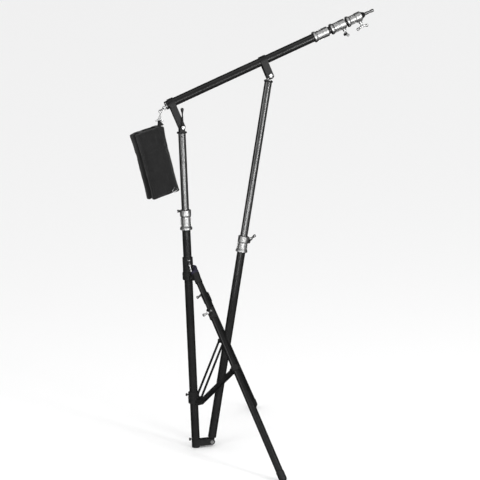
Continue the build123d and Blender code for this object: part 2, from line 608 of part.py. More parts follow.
lean = radians(leg_angle)
pad_height = leg_foot_d / 2
leg_foot_at = (leg_pivot_height + leg_offset * sin(lean) - pad_height) / cos(lean)
leg_id = leg_lower_od - 2 * tube_wall
for side, name in ((-1, "leg_a"), (1, "leg_b")):
    out = leg_out(side)
    down = out * sin(lean) - Vector(0, 0, cos(lean))
    above = out * cos(lean) + Vector(0, 0, sin(lean))
    across = Vector(out.Y, -out.X, 0)
    leg_pivot = out * leg_pivot_radius + Vector(0, 0, leg_pivot_height)
    LEG = Plane(origin=leg_pivot + above * leg_offset, x_dir=across, z_dir=down)
    PIVOT = leg_plane(side, leg_pivot_radius, leg_pivot_height)

    with BuildPart() as leg_upper_tube:
        pipe(LEG, leg_upper_od, leg_upper_od - 2 * tube_wall, -leg_head, leg_upper_end)
    leg_upper_tube.part.label = f"{name}_upper_tube"
    export_step(leg_upper_tube.part, f"parts/{name}_upper_tube.step")

    # Head bracket: a capped saddle over the tube with two cheeks down to the pivot.
    reach_out = leg_offset * cos(lean)
    reach_up = leg_offset * sin(lean)
    with BuildPart() as leg_bracket:
        rod(LEG, bracket_outer, -leg_head - 4, leg_head + 24)
        with BuildSketch(PIVOT.offset(-bracket_outer / 2)) as cheeks:
            Circle(cheek_radius)
            with BuildLine():
                Polyline((-cheek_radius, 0), (cheek_radius, 0), (cheek_radius + reach_out, reach_up),
                         (-cheek_radius + reach_out, reach_up), close=True)
            make_face()
        extrude(cheeks.sketch, amount=bracket_outer)
        rod(LEG, leg_upper_od + 2 * press_gap, -leg_head, 4 * leg_head, mode=Mode.SUBTRACT)
        cheek_gap = PIVOT.offset(-leg_upper_od / 2)
        with BuildSketch(cheek_gap) as gap:
            Circle(hub_ear_radius + 3)
        extrude(gap.sketch, amount=leg_upper_od, mode=Mode.SUBTRACT)
        rod(PIVOT, leg_pin_d + 2 * run_gap, -bracket_outer, bracket_outer, mode=Mode.SUBTRACT)
    leg_bracket.part.label = f"{name}_bracket"
    export_step(leg_bracket.part, f"parts/{name}_bracket.step")

    leg_clamp_end = leg_clamp_start + leg_clamp_length
    with BuildPart() as leg_lower_tube:
        pipe(LEG, leg_lower_od, leg_id, leg_clamp_end - 22, leg_foot_at - 6)
    leg_lower_tube.part.label = f"{name}_lower_tube"
    export_step(leg_lower_tube.part, f"parts/{name}_lower_tube.step")

    with BuildPart() as leg_clamp:
        turned(LEG.offset(leg_clamp_start), [
            (leg_upper_od / 2 + run_gap, 0), (leg_lower_od / 2 + 2, 0), (leg_lower_od / 2 + 4, 2),
            (leg_lower_od / 2 + 4, leg_clamp_length - 2), (leg_lower_od / 2 + 2, leg_clamp_length),
            (leg_lower_od / 2 + press_gap, leg_clamp_length), (leg_lower_od / 2 + press_gap, leg_clamp_length - 22),
            (leg_upper_od / 2 + run_gap, leg_clamp_length - 22)])
        leg_seat = radial(LEG, -90 - side * 60, 0, leg_clamp_start + leg_screw_at)
        rod(leg_seat, leg_boss_d, leg_upper_od / 2 + 2, leg_lower_od / 2 + 9)
        rod(leg_seat, screw_d + 2 * run_gap, leg_upper_od / 2 - 1, leg_lower_od, mode=Mode.SUBTRACT)
    leg_clamp.part.label = f"{name}_clamp"
    export_step(leg_clamp.part, f"parts/{name}_clamp.step")

    with BuildPart() as leg_handle:
        wing_handle(radial(LEG, -90 - side * 60, leg_upper_od / 2 + 6, leg_clamp_start + leg_screw_at),
                    leg_lower_od / 2 + 15 - leg_upper_od / 2, wing_span - 4, 90)
    leg_handle.part.label = f"{name}_handle"
    export_step(leg_handle.part, f"parts/{name}_handle.step")

    with BuildPart() as leg_foot:
        with BuildSketch(Plane(origin=LEG.origin, x_dir=LEG.x_dir, z_dir=-LEG.y_dir)) as foot_profile:
            with BuildLine():
                foot_top = leg_foot_at - 40
                CenterArc((0, leg_foot_at), pad_height, 0, 90)
                Polyline((pad_height, leg_foot_at), (pad_height, foot_top + 3), (pad_height - 1.5, foot_top),
                         (leg_lower_od / 2 + press_gap, foot_top),
                         (leg_lower_od / 2 + press_gap, leg_foot_at - 6 + press_gap),
                         (0, leg_foot_at - 6 + press_gap), (0, leg_foot_at + pad_height))
            make_face()
        revolve(foot_profile.sketch, axis=Axis(LEG.origin, LEG.z_dir))
    leg_foot.part.label = f"{name}_foot"
    export_step(leg_foot.part, f"parts/{name}_foot.step")

    # The brace ring lets the lower tube slide and carries the brace bolt under it.
    brace_bolt_at = LEG.origin + down * brace_distance - above * brace_drop
    BRACE = Plane(origin=brace_bolt_at, x_dir=out, z_dir=across)
    with BuildPart() as brace_ring:
        pipe(LEG, leg_lower_od + 8, leg_lower_od + 2 * run_gap, brace_distance - 14, brace_distance + 14)
        with BuildSketch(BRACE.offset(-lug_width / 2)) as lug:
            Circle(leg_pin_d / 2 + lug_slack + 4)
        extrude(lug.sketch, amount=lug_width)
        rod(LEG, leg_lower_od + 2 * run_gap, brace_distance - 40, brace_distance + 40, mode=Mode.SUBTRACT)
        rod(BRACE, leg_pin_d + 2 * lug_slack, -lug_width, lug_width, mode=Mode.SUBTRACT)
        rod(LEG, leg_lower_od + 2 * run_gap, brace_distance - 40, brace_distance + 40, mode=Mode.SUBTRACT)
    brace_ring.part.label = f"{name}_brace_ring"
    export_step(brace_ring.part, f"parts/{name}_brace_ring.step")

    collar_bolt_at = out * collar_pivot_radius + Vector(0, 0, collar_pivot_height)
    strap_run = brace_bolt_at - collar_bolt_at
    strap_length = strap_run.length
    STRAP = Plane(origin=collar_bolt_at, x_dir=strap_run.normalized(), z_dir=across)
    strap_inner = lug_width / 2 + side_gap
    with BuildPart() as brace:
        for start in (strap_inner, -strap_inner - strap_thickness):
            with BuildSketch(STRAP.offset(start)) as strap:
                with Locations((strap_length / 2, 0)):
                    SlotCenterToCenter(strap_length, strap_width)
                with Locations((0, 0), (strap_length, 0)):
                    Circle(leg_pin_d / 2 + press_gap, mode=Mode.SUBTRACT)
            extrude(strap.sketch, amount=strap_thickness)
        for place in (0, strap_length):
            spot = Plane(origin=STRAP.origin + STRAP.x_dir * place, x_dir=STRAP.x_dir, z_dir=across)
            bolt(spot, leg_pin_d, 2 * (strap_inner + strap_thickness), 14, 5, 6)
    brace.part.label = f"{name}_brace"
    export_step(brace.part, f"parts/{name}_brace.step")

# ---------------------------------------------------------------- sandbag and hook

link_dir = Vector(-0.85, 0, -0.52).normalized()
link_centre = tail_eye_at + link_dir * (eye_radius - wire_d - 0.3 + link_radius)
with BuildPart() as hook_link:
    link_axis = Vector(0, 1, 0).cross(link_dir)
    with BuildSketch(Plane(origin=link_centre, x_dir=link_dir, z_dir=link_dir.cross(link_axis))) as link_wire:
        with Locations((link_radius, 0)):
            Circle(wire_d / 2)
    revolve(link_wire.sketch, axis=Axis(link_centre, link_axis))
hook_link.part.label = "hook_link"
export_step(hook_link.part, "parts/hook_link.step")

loop_radius = 8.0
link_end = link_centre + link_dir * link_radius
loop_centre = link_end - Vector(0, 0, loop_radius - wire_d - 0.3)
with BuildPart() as snap_hook:
    with BuildSketch(Plane(origin=loop_centre, x_dir=(1, 0, 0), z_dir=(0, 0, 1))) as loop_wire:
        with Locations((loop_radius, 0)):
            Circle(wire_d / 2)
    revolve(loop_wire.sketch, axis=Axis(loop_centre, (0, 1, 0)))
    bar_centre = Vector(*hook_bar)
    drop = loop_centre - Vector(0, 0, loop_radius) - bar_centre
    STEM = Plane(origin=bar_centre, x_dir=(0, 1, 0), z_dir=drop.normalized())
    turned(STEM, [(0, 8), (3, 8), (6, 11), (6, 24), (4, 27), (2.5, 29), (2.5, drop.length), (0, drop.length)])
    bar_ends = hook_bar_length / 2
    BAR = Plane(origin=bar_centre + Vector(-bar_ends, 0, 0), x_dir=(0, 1, 0), z_dir=(1, 0, 0))
    rod(BAR, wire_d, 0, hook_bar_length)
    for end in (-1, 1):
        corner = bar_centre + Vector(end * (bar_ends - wire_d / 2), 0, 0)
        rise = bar_centre + Vector(0, 0, 14) - corner
        rod(Plane(origin=corner, x_dir=(0, 1, 0), z_dir=rise.normalized()), wire_d, 0, rise.length)
snap_hook.part.label = "snap_hook"
export_step(snap_hook.part, "parts/snap_hook.step")

tilt = radians(bag_tilt)
yaw = radians(bag_yaw)
bag_long = Vector(-sin(tilt), 0, cos(tilt))
bag_across = Vector(cos(yaw) * cos(tilt), sin(yaw), cos(yaw) * sin(tilt))
BAG = Plane(origin=bag_centre, x_dir=bag_across, z_dir=bag_long)
for name, place in (("sandbag_front", -1), ("sandbag_rear", 1)):
    with BuildPart() as pouch:
        with BuildSketch(BAG.offset(-bag_height / 2)) as pouch_section:
            with Locations((0, place * (pouch_thickness + pouch_gap) / 2)):
                RectangleRounded(bag_width, pouch_thickness, pouch_thickness / 2 - 7)
        extrude(pouch_section.sketch, amount=bag_height)
        fillet(pouch.faces().sort_by(Axis(bag_centre, bag_long))[-1].edges(), 12)
        fillet(pouch.faces().sort_by(Axis(bag_centre, bag_long))[0].edges(), 12)
    pouch.part.label = name
    export_step(pouch.part, f"parts/{name}.step")

handle_top = Vector(*hook_bar) - bag_long * (wire_d / 2 + handle_gap)
handle_drop = (handle_top - Vector(*bag_centre)).dot(bag_long) - bag_height / 2
with BuildPart() as sandbag_handle:
    HANDLE = Plane(origin=handle_top, x_dir=bag_across, z_dir=-bag_long)
    block(HANDLE, (38, 4), (0, 0), 0, handle_drop - side_gap)
sandbag_handle.part.label = "sandbag_handle"
export_step(sandbag_handle.part, "parts/sandbag_handle.step")
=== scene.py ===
import json
import math

import bmesh
import bpy
from mathutils import Matrix, Vector, noise
from mathutils.bvhtree import BVHTree


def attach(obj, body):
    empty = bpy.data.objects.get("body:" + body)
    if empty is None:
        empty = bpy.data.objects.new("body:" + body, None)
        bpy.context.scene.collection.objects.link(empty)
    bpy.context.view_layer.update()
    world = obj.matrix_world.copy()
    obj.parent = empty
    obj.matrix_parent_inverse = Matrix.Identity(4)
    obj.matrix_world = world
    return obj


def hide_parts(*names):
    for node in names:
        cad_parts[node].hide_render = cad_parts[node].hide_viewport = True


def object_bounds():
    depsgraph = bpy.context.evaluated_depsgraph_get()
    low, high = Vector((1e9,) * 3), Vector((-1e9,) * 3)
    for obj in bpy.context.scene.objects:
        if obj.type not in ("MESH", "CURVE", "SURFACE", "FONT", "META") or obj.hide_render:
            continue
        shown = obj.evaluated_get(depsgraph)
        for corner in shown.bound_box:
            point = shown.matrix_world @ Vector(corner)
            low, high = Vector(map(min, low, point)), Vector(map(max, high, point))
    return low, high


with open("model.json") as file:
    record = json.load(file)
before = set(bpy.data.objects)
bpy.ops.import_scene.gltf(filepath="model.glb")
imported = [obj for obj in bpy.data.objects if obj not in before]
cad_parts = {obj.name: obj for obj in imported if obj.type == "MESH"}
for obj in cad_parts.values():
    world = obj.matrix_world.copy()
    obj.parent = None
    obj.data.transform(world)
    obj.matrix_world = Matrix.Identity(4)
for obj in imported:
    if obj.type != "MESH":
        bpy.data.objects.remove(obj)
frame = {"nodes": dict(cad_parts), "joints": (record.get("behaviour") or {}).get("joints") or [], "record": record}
cad_low, cad_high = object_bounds()
nodes = frame["nodes"]
record = frame["record"]
joints = {joint["name"]: joint for joint in frame["joints"]}
MM = 0.001

# ------------------------------------------------------------------ camera

AZIMUTH = math.radians(-12.6)
ELEVATION = math.radians(10.7)
ROLL = math.radians(2.26)
DISTANCE = 9.56
LENS = 132.8
AIM = Vector((0.15, 0.0, 1.15))
SHIFT_RIGHT = 0.140
SHIFT_UP = -0.007

back = Vector((math.sin(AZIMUTH) * math.cos(ELEVATION), -math.cos(AZIMUTH) * math.cos(ELEVATION),
               math.sin(ELEVATION)))
right = Vector((math.cos(AZIMUTH), math.sin(AZIMUTH), 0))
up = back.cross(right)
camera = bpy.data.objects.new("camera", bpy.data.cameras.new("camera"))
bpy.context.scene.collection.objects.link(camera)
camera.data.lens = LENS
camera.data.sensor_width = 36
camera.data.clip_end = 500
rolled_right = right * math.cos(ROLL) - up * math.sin(ROLL)
rolled_up = right * math.sin(ROLL) + up * math.cos(ROLL)
turn = Matrix((rolled_right, rolled_up, back)).transposed().to_4x4()
camera.matrix_world = Matrix.Translation(AIM + right * SHIFT_RIGHT + up * SHIFT_UP + back * DISTANCE) @ turn
bpy.context.scene.camera = camera

# ------------------------------------------------------------------ studio


def area_light(name, place, target, width, height, energy):
    lamp = bpy.data.lights.new(name, "AREA")
    lamp.shape = "RECTANGLE"
    lamp.size = width
    lamp.size_y = height
    lamp.energy = energy
    holder = bpy.data.objects.new(name, lamp)
    bpy.context.scene.collection.objects.link(holder)
    holder.location = place
    holder.rotation_euler = (Vector(target) - Vector(place)).to_track_quat("-Z", "Y").to_euler()
    return holder


CENTRE = (cad_low + cad_high) / 2
area_light("key_strip", CENTRE + right * 2.6 + back * 3.4 + Vector((0, 0, 0.5)), CENTRE, 0.55, 3.4, 62)
area_light("left_fill", CENTRE - right * 3.6 + back * 2.4 + Vector((0, 0, 0.8)), CENTRE, 1.2, 3.0, 20)
area_light("top_box", CENTRE + back * 0.9 + Vector((0, 0, 3.2)), CENTRE, 3.2, 1.2, 9)
area_light("low_strip", CENTRE + back * 3.1 + Vector((0.2, 0, -0.75)), CENTRE + Vector((0, 0, 0.9)), 3.6, 0.22, 24)

world = bpy.data.worlds.new("studio")
bpy.context.scene.world = world
world.use_nodes = True
wt = world.node_tree
wt.nodes.clear()
sky = wt.nodes.new("ShaderNodeBackground")
sky.inputs["Color"].default_value = (1.0, 1.0, 1.0, 1)
dim = wt.nodes.new("ShaderNodeBackground")
way = wt.nodes.new("ShaderNodeSeparateXYZ")
wt.links.new(wt.nodes.new("ShaderNodeTexCoord").outputs["Generated"], way.inputs[0])
front = wt.nodes.new("ShaderNodeMapRange")
front.interpolation_type = "SMOOTHSTEP"
for socket, value in (("From Min", 0.1), ("From Max", -0.9), ("To Min", 0.01), ("To Max", 0.34)):
    front.inputs[socket].default_value = value
wt.links.new(way.outputs["Y"], front.inputs["Value"])
wt.links.new(front.outputs[0], dim.inputs["Strength"])
path = wt.nodes.new("ShaderNodeLightPath")
blend = wt.nodes.new("ShaderNodeMixShader")
world_out = wt.nodes.new("ShaderNodeOutputWorld")
wt.links.new(path.outputs["Is Glossy Ray"], blend.inputs[0])
wt.links.new(sky.outputs[0], blend.inputs[1])
wt.links.new(dim.outputs[0], blend.inputs[2])
wt.links.new(blend.outputs[0], world_out.inputs[0])
bpy.context.scene.view_settings.view_transform = "Standard"

# ------------------------------------------------------------------ materials


def add(tree, kind, inputs=None, **settings):
    """A shader node with its settings; an input is a number, a colour or another node's socket."""
    made = tree.nodes.new(kind)
    for key, value in settings.items():
        setattr(made, key, value)
    for key, value in (inputs or {}).items():
        if isinstance(value, bpy.types.NodeSocket):
            tree.links.new(value, made.inputs[key])
        else:
            made.inputs[key].default_value = value
    return made


def grey(value, tint=(1, 1, 1)):
    return (value * tint[0], value * tint[1], value * tint[2], 1)


def coordinates(tree, axis, stretch):
    """Object coordinates turned so that Z runs along the axis, and scaled."""
    place = add(tree, "ShaderNodeTexCoord").outputs["Object"]
    turned = Vector(axis).rotation_difference(Vector((0, 0, 1))).to_euler()
    return add(tree, "ShaderNodeMapping", {"Vector": place, "Rotation": tuple(turned), "Scale": stretch}).outputs[0]


def cloud(tree, vector, scale, detail=4.0, low=0.35, high=0.65):
    """Noise spread over 0 to 1."""
    field = add(tree, "ShaderNodeTexNoise", {"Vector": vector, "Scale": scale, "Detail": detail}).outputs[0]
    return ranged(tree, field, low, high, 0.0, 1.0)


def ranged(tree, value, low, high, to_low, to_high):
    return add(tree, "ShaderNodeMapRange", {"Value": value, "From Min": low, "From Max": high,
                                            "To Min": to_low, "To Max": to_high}).outputs[0]


def mixed(tree, factor, first, second):
    return add(tree, "ShaderNodeMix", {0: factor, 6: first, 7: second}, data_type="RGBA").outputs[2]


def maths(tree, operation, first, second):
    return add(tree, "ShaderNodeMath", {0: first, 1: second}, operation=operation).outputs[0]


def edges(tree, radius):
    """1 on sharp outer edges, 0 on flat ground."""
    soft = add(tree, "ShaderNodeBevel", {"Radius": radius}, samples=4).outputs[0]
    hard = add(tree, "ShaderNodeNewGeometry").outputs["Normal"]
    match = add(tree, "ShaderNodeVectorMath", {0: soft, 1: hard}, operation="DOT_PRODUCT").outputs["Value"]
    return ranged(tree, match, 0.86, 0.99, 1.0, 0.0)


def finish_material(colour, roughness, metallic, height, distance, **constants):
    """A material from its colour, roughness and height sockets; the rest are set on the shader."""
    shade = height.id_data.nodes["Principled BSDF"]
    tree = height.id_data
    tree.links.new(colour, shade.inputs["Base Color"])
    tree.links.new(roughness, shade.inputs["Roughness"])
    shade.inputs["Metallic"].default_value = metallic
    bump = add(tree, "ShaderNodeBump", {"Height": height, "Distance": distance, "Strength": 1.0})
    tree.links.new(bump.outputs[0], shade.inputs["Normal"])
    for socket, value in constants.items():
        shade.inputs[socket.replace("_", " ")].default_value = value


def new_material(name):
    made = bpy.data.materials.new(name)
    made.use_nodes = True
    return made


def tube_paint(name, axis, base, sheen):
    """Black finish with fine orange peel and faint scuffs along the tube; sheen 0 is powder coat, 1 anodised."""
    made = new_material(name)
    tree = made.node_tree
    even = coordinates(tree, axis, (1, 1, 1))
    long_way = coordinates(tree, axis, (1, 1, 0.03))
    blotch = cloud(tree, even, 9)
    scuff = cloud(tree, long_way, 420, 3.0, 0.60, 0.74)
    colour = mixed(tree, scuff, mixed(tree, blotch, grey(base), grey(base * 1.5)), grey(base * 2.6))
    rough = maths(tree, "ADD", ranged(tree, blotch, 0, 1, 0.17, 0.23), ranged(tree, scuff, 0, 1, 0, 0.12))
    peel = cloud(tree, even, 700, 2.0, 0.3, 0.7)
    finish_material(colour, rough, sheen, peel, 0.00006, Specular_IOR_Level=0.5)
    return made


def fitting_paint(name, tint=(1, 1, 1), base=0.008):
    """Satin black paint, worn to grey on the outer edges."""
    made = new_material(name)
    tree = made.node_tree
    even = coordinates(tree, (0, 0, 1), (1, 1, 1))
    blotch = cloud(tree, even, 26)
    worn = maths(tree, "MULTIPLY", edges(tree, 0.0012), cloud(tree, even, 160, 4.0, 0.42, 0.62))
    colour = mixed(tree, worn, mixed(tree, blotch, grey(base, tint), grey(base * 1.7, tint)), grey(0.07))
    rough = ranged(tree, blotch, 0, 1, 0.36, 0.50)
    grain = cloud(tree, even, 1100, 2.0, 0.3, 0.7)
    finish_material(colour, rough, 0.0, grain, 0.00008, Specular_IOR_Level=0.35)
    return made


def cast_metal():
    """Tumbled cast aluminium: grainy skin, painted shade in the recesses, painted highlight on the edges."""
    made = new_material("cast_metal")
    tree = made.node_tree
    even = coordinates(tree, (0, 0, 1), (1, 1, 1))
    shade = add(tree, "ShaderNodeAmbientOcclusion", {"Distance": 0.012}, samples=6).outputs["AO"]
    skin = cloud(tree, even, 55)
    body = mixed(tree, skin, grey(0.60), grey(0.74, (1, 1, 0.99)))
    # Painted shade: the colour is darkened towards 0.22 in recesses found by ambient occlusion.
    colour = mixed(tree, ranged(tree, shade, 0.35, 0.95, 0, 1), grey(0.22), body)
    # Painted highlight: every edge is painted near-white (0.90) over the cast colour.
    bright = mixed(tree, edges(tree, 0.0015), colour, grey(0.90))
    grain = cloud(tree, even, 520, 6.0, 0.25, 0.75)
    finish_material(bright, ranged(tree, skin, 0, 1, 0.30, 0.46), 1.0, grain, 0.00022)
    return made


def plated_steel(name, level):
    """Plated steel of a given brightness with fine turning marks and painted shade in the recesses."""
    made = new_material(name)
    tree = made.node_tree
    even = coordinates(tree, (0, 0, 1), (1, 1, 1))
    marks = cloud(tree, coordinates(tree, (0, 0, 1), (1, 1, 14)), 190, 3.0)
    smudge = cloud(tree, even, 40)
    shade = add(tree, "ShaderNodeAmbientOcclusion", {"Distance": 0.006}, samples=6).outputs["AO"]
    body = mixed(tree, smudge, grey(level * 0.85), grey(level))
    # Painted shade: the colour is darkened towards a quarter of its level in recesses found by ambient occlusion.
    colour = mixed(tree, ranged(tree, shade, 0.3, 0.9, 0, 1), grey(level * 0.25), body)
    rough = maths(tree, "ADD", ranged(tree, smudge, 0, 1, 0.14, 0.26), ranged(tree, marks, 0, 1, 0, 0.10))
    finish_material(colour, rough, 1.0, marks, 0.00003)
    return made


def moulded(name, tint, base):
    """Moulded plastic or rubber with a spark-eroded grain and dusty patches."""
    made = new_material(name)
    tree = made.node_tree
    even = coordinates(tree, (0, 0, 1), (1, 1, 1))
    dust = cloud(tree, even, 70)
    colour = mixed(tree, dust, grey(base, tint), grey(base * 1.6, tint))
    grain = cloud(tree, even, 1500, 3.0, 0.3, 0.7)
    finish_material(colour, ranged(tree, dust, 0, 1, 0.46, 0.62), 0.0, grain, 0.0001,
                    Specular_IOR_Level=0.4)
    return made


def woven(name, across, along, thread, base, ribs):
    """Plain-woven cloth: warp and weft bands at thread pitch, lint and broad patches of darker and lighter tone."""
    made = new_material(name)
    tree = made.node_tree
    turned = Matrix((across, Vector(along).cross(across), along)).to_euler()
    place = add(tree, "ShaderNodeTexCoord").outputs["Object"]
    local = add(tree, "ShaderNodeMapping", {"Vector": place, "Rotation": tuple(turned)}).outputs[0]
    bands = [add(tree, "ShaderNodeTexWave", {"Vector": local, "Scale": 1 / (thread * share), "Distortion": 0.6,
                                             "Detail": 1.0}, bands_direction=way).outputs["Fac"]
             for way, share in (("X", 20 / math.pi / 2), ("Z", 20 / math.pi / 2 * ribs))]
    weave = maths(tree, "MULTIPLY", bands[0], bands[1])
    lint = cloud(tree, local, 33, 5.0)
    broad = cloud(tree, local, 7, 3.0)
    dark = mixed(tree, broad, grey(base, (1, 1, 1.05)), grey(base * 1.7, (1, 1, 1.03)))
    colour = mixed(tree, weave, dark, mixed(tree, lint, grey(base * 2.2), grey(base * 3.2)))
    rough = ranged(tree, lint, 0, 1, 0.60, 0.78)
    finish_material(colour, rough, 0.0, weave, thread * 0.22, Sheen_Weight=0.18, Sheen_Roughness=0.45,
                    Specular_IOR_Level=0.35)
    return made


BOOM_AXIS = Vector(joints["boom_extend_1"]["axis"])
STRUT_AXIS = Vector(joints["strut_extend_tilt"]["axis"])
LEG_AXIS = {leg: Vector(joints[f"leg_{leg}_extend"]["axis"]) for leg in "ab"}
BAG_TILT = math.radians(11.4)
BAG_YAW = math.radians(22.0)
BAG_UP = Vector((-math.sin(BAG_TILT), 0, math.cos(BAG_TILT)))
BAG_ACROSS = Vector((math.cos(BAG_YAW) * math.cos(BAG_TILT), math.sin(BAG_YAW),
                     math.cos(BAG_YAW) * math.sin(BAG_TILT))).normalized()
BAG_DEPTH = BAG_UP.cross(BAG_ACROSS).normalized()

fitting = fitting_paint("fitting_paint")
cast = cast_metal()
steel = plated_steel("plated_steel", 0.80)
# Painted shade: a darkened copy of the bright plated steel, used on the spigot.
painted_shade_steel = plated_steel("painted_shade_steel", 0.16)
black_plastic = moulded("black_plastic", (1, 1, 1.02), 0.008)
cap_plastic = moulded("cap_plastic", (0.85, 0.75, 1.7), 0.014)
nylon = woven("bag_nylon", BAG_ACROSS, BAG_UP, 0.0011, 0.0036, 1.0)
webbing = woven("webbing", BAG_ACROSS, BAG_UP, 0.0017, 0.0045, 0.6)
thread_finish = moulded("thread", (1, 1, 1), 0.012)

slot_of = {part["node"]: part["material_slot"] for part in record["subparts"]}
finishes = {"black_fitting": fitting, "cast_aluminium": cast, "bright_steel": steel,
            "black_plastic": black_plastic, "bag_nylon": nylon, "webbing": webbing}
tube_axes = {"mast": Vector((0, 0, 1)), "boom": BOOM_AXIS, "strut": STRUT_AXIS,
             "leg_a": LEG_AXIS["a"], "leg_b": LEG_AXIS["b"]}
coats = {name: tube_paint(f"tube_coat_{name}", axis, 0.0065, 0.0) for name, axis in tube_axes.items()}
anodised = {name: tube_paint(f"tube_anodised_{name}", tube_axes[name], 0.12, 0.9) for name in ("mast", "strut")}


def finish_of(node):
    """The material for a CAD node, from its slot and, on tubes, the way that it runs."""
    # The spigot gets the darkened copy of the plated steel: painted shade.
    if node == "spigot":
        return painted_shade_steel
    if slot_of[node] != "black_tube":
        return finishes[slot_of[node]]
    family = anodised if node in ("mast_upper_tube", "strut_upper_tube") else coats
    return next(family[start] for start in family if node.startswith(start))


for node_name, node_object in nodes.items():
    node_object.data.materials.clear()
    node_object.data.materials.append(finish_of(node_name))

# ------------------------------------------------------------------ building blocks


def piece(name, points, faces, material, body, smooth=True):
    """A mesh piece, in the row frame, that rides on a CAD body."""
    mesh = bpy.data.meshes.new(name)
    mesh.from_pydata([tuple(point) for point in points], [], faces)
    made = bmesh.new()
    made.from_mesh(mesh)
    bmesh.ops.remove_doubles(made, verts=made.verts, dist=1e-7)
    bmesh.ops.recalc_face_normals(made, faces=made.faces)
    made.to_mesh(mesh)
    made.free()
    mesh.materials.append(material)
    mesh.shade_smooth() if smooth else mesh.shade_flat()
    thing = bpy.data.objects.new(name, mesh)
    bpy.context.scene.collection.objects.link(thing)
    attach(thing, body)
    return thing


def joined(rings, closed, ends):
    """Faces between rings of equal length, with the end rings capped if asked."""
    count = len(rings[0])
    points = [point for ring in rings for point in ring]
    steps = len(rings) if closed else len(rings) - 1
    faces = []
    for step in range(steps):
        low = step * count
        high = (step + 1) % len(rings) * count
        faces += [(low + i, low + (i + 1) % count, high + (i + 1) % count, high + i) for i in range(count)]
    if ends:
        faces.append(tuple(range(count)))
        faces.append(tuple(range(len(points) - count, len(points))))
    return points, faces


def lathe(name, origin, axis, outline, material, body, segments=48):
    """A turned piece from (radius, height) points along the axis."""
    axis = axis.normalized()
    side = axis.orthogonal().normalized()
    other = axis.cross(side)
    rings = []
    for radius, height in outline:
        ring = [origin + axis * height + (side * math.cos(a) + other * math.sin(a)) * max(radius, 1e-5)
                for a in (2 * math.pi * i / segments for i in range(segments))]
        rings.append(ring)
    points, faces = joined(rings, False, True)
    return piece(name, points, faces, material, body)


def tangents(path, closed):
    last = len(path) - 1
    found = []
    for i in range(len(path)):
        before = path[i - 1] if closed or i > 0 else path[i]
        after = path[(i + 1) % len(path)] if closed or i < last else path[i]
        found.append((after - before).normalized())
    return found


def swept(path, section, sides, closed=False):
    """Rings of a section of (sideways, outwards) points carried along a path."""
    ways = tangents(path, closed)
    rings = []
    for point, way, side in zip(path, ways, sides):
        across = (side - way * side.dot(way)).normalized()
        out = way.cross(across)
        rings.append([point + across * x + out * y for x, y in section])
    return joined(rings, closed, not closed)


def circle(radius, count=10):
    return [(radius * math.cos(2 * math.pi * i / count), radius * math.sin(2 * math.pi * i / count))
            for i in range(count)]


def strap_section(width, thickness):
    """Flat webbing section with rounded edges."""
    w, t = width / 2, thickness / 2
    return [(-w, 0), (-w + t, -t), (0, -t * 1.1), (w - t, -t), (w, 0), (w - t, t), (0, t * 1.1), (-w + t, t)]


def extent(node, axis):
    """Lowest and highest place of a CAD node along an axis."""
    places = [vertex.co.dot(axis) for vertex in nodes[node].data.vertices]
    return min(places), max(places)


def half_width(node, axis):
    """Outer radius of a tube that runs along the axis."""
    low, high = extent(node, axis.orthogonal().normalized())
    return (high - low) / 2


def centre_line(node, axis):
    """The point on a node's middle line nearest the frame's origin."""
    side = axis.orthogonal().normalized()
    other = axis.cross(side)
    return sum((way * (sum(extent(node, way)) / 2) for way in (side, other)), Vector())


# ------------------------------------------------------------------ rigid details

for leg in "ab":
    down = LEG_AXIS[leg]
    line = centre_line(f"leg_{leg}_upper_tube", down)
    tube_top = line + down * extent(f"leg_{leg}_upper_tube", down)[0]
    cap_seat = tube_top + down * 10 * MM
    grip = half_width(f"leg_{leg}_upper_tube", down) + 4.1 * MM
    lathe(f"leg_{leg}_cap", cap_seat, -down,
          [(grip, 0), (grip + 1.1 * MM, 0.5 * MM), (grip + 1.3 * MM, 3 * MM), (grip + 1.2 * MM, 10 * MM),
           (grip + 0.5 * MM, 14 * MM), (grip - 1.5 * MM, 16.6 * MM), (grip - 5.6 * MM, 18.2 * MM),
           (7 * MM, 19 * MM), (0, 19.2 * MM)],
          cap_plastic, f"leg_{leg}")
    lathe(f"leg_{leg}_cap_screw", tube_top - down * 8.4 * MM, -down,
          [(5 * MM, 0), (5 * MM, 2 * MM), (4.2 * MM, 3.1 * MM), (2.4 * MM, 3.9 * MM), (0, 4.1 * MM)],
          steel, f"leg_{leg}", 24)

# Moulded collars where each inner tube leaves its clamp.
collars = (("mast_casting", "mast_upper_tube", Vector((0, 0, 1)), "base"),
           ("strut_casting", "strut_upper_tube", STRUT_AXIS, "strut_lower"),
           ("boom_casting_1", "boom_tube_2", BOOM_AXIS, "boom"),
           ("boom_casting_2", "boom_tube_3", BOOM_AXIS, "section_2"),
           ("boom_casting_3", "boom_tube_4", BOOM_AXIS, "section_3"))
for clamp, tube, axis, body in collars:
    seat = centre_line(tube, axis) + axis * extent(clamp, axis)[1]
    inner = half_width(tube, axis) + 0.25 * MM
    lip = [(inner, 0), (inner + 2.6 * MM, 0), (inner + 2.6 * MM, 1.4 * MM), (inner + 1.8 * MM, 2.4 * MM),
           (inner, 2.6 * MM)]
    side = axis.orthogonal().normalized()
    other = axis.cross(side)
    rings = [[seat + axis * height + (side * math.cos(a) + other * math.sin(a)) * out
              for out, height in lip]
             for a in (2 * math.pi * i / 48 for i in range(48))]
    points, faces = joined(rings, True, False)
    piece(f"{clamp}_collar", points, faces, black_plastic, body)

# ------------------------------------------------------------------ sandbag

SIM_FRAMES = 20
SWELL_CAP = 6 * MM
VOXEL = 5 * MM
RIGHT_FACET = 0.20
FILL_LINE = 0.66
SEAM_STEPS = 150


def smooth_step(low, high, value):
    t = min(1.0, max(0.0, (value - low) / (high - low)))
    return t * t * (3 - 2 * t)


